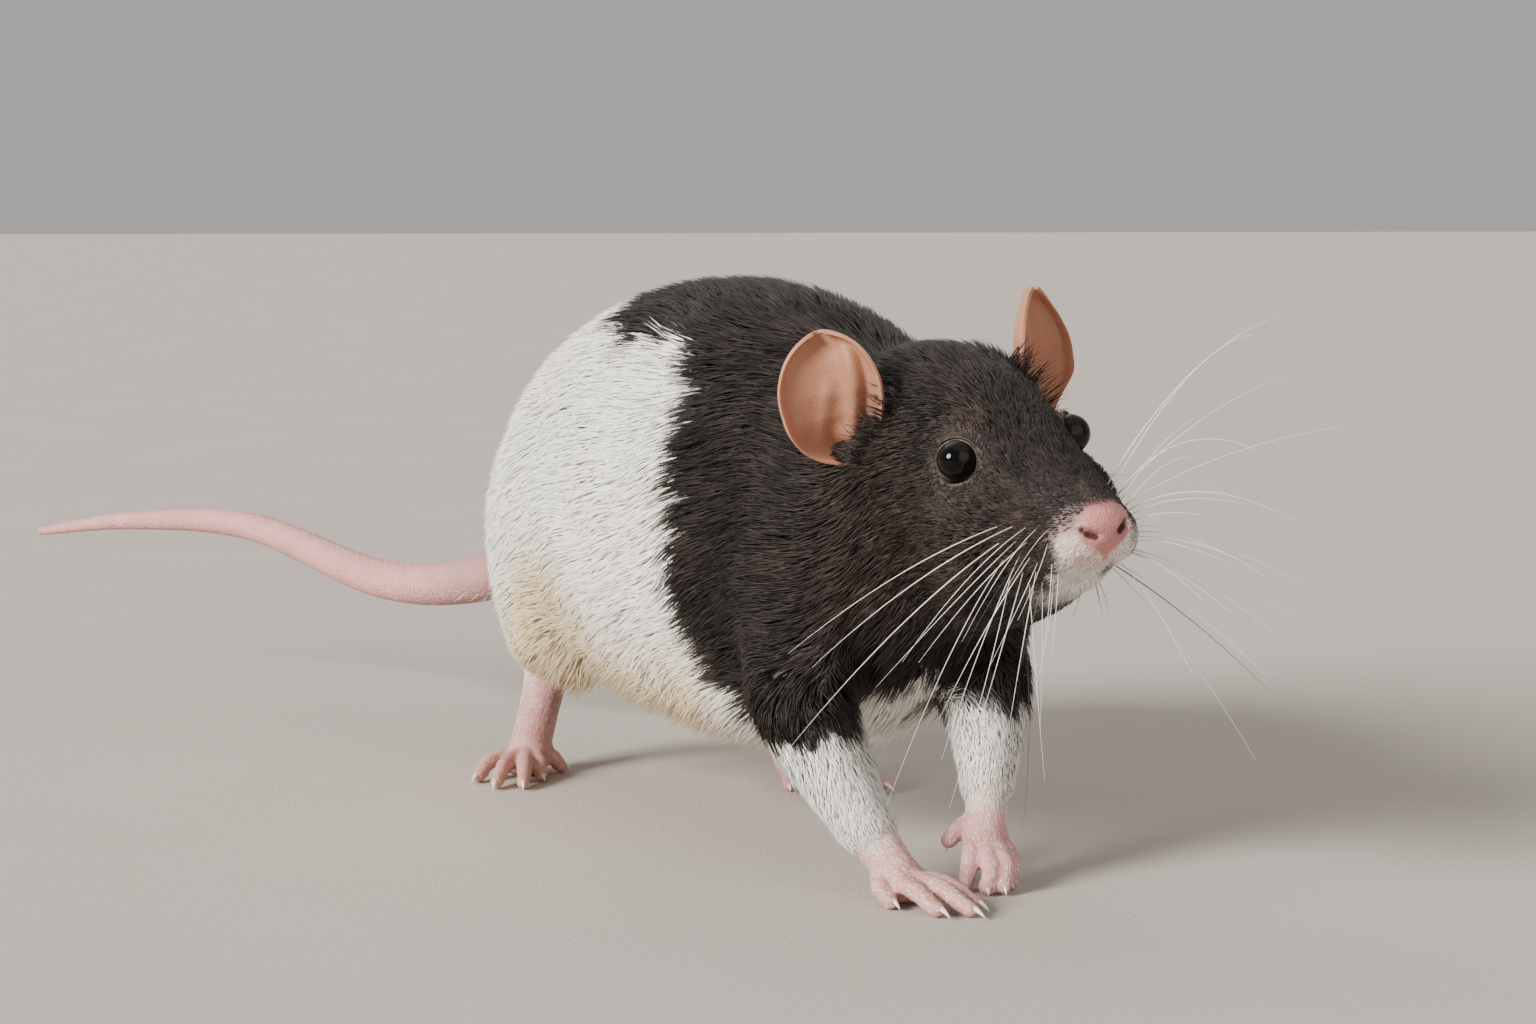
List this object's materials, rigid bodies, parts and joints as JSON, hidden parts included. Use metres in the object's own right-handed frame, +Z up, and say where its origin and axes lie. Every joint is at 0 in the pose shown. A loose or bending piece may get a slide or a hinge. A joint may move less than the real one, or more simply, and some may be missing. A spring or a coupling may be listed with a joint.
{
  "type": "hooded pet rat, still life-size model",
  "caption": "Life-size still model of a hooded pet rat standing with its head raised, its tail held behind it and its feet flat on the floor.",
  "frame": {"origin": "on the floor, at the centre of the footprint of the whole model's bounding box", "axes": "+Z up from the floor, -Y the way the rat faces, +X the rat's left side"},
  "size_m": [0.1058, 0.3717, 0.1019],
  "materials": {
    "dark_coat": "short dark fur",
    "white_coat": "short white fur, dark along the back",
    "bare_skin": "pink skin",
    "ear_skin": "thin tan skin",
    "eye": "glossy black"
  },
  "bodies": {
    "root": {"head": "dark_coat", "neck": "dark_coat", "foreleg_right": "dark_coat", "foreleg_left": "dark_coat", "torso": "white_coat", "hindleg_right": "white_coat", "hindleg_left": "white_coat", "forefoot_right": "bare_skin", "forefoot_left": "bare_skin", "hindfoot_right": "bare_skin", "hindfoot_left": "bare_skin", "tail_base": "bare_skin", "tail_middle": "bare_skin", "tail_end": "bare_skin", "ear_right": "ear_skin", "ear_left": "ear_skin", "eye_right": "eye", "eye_left": "eye"}
  },
  "joints": []
}
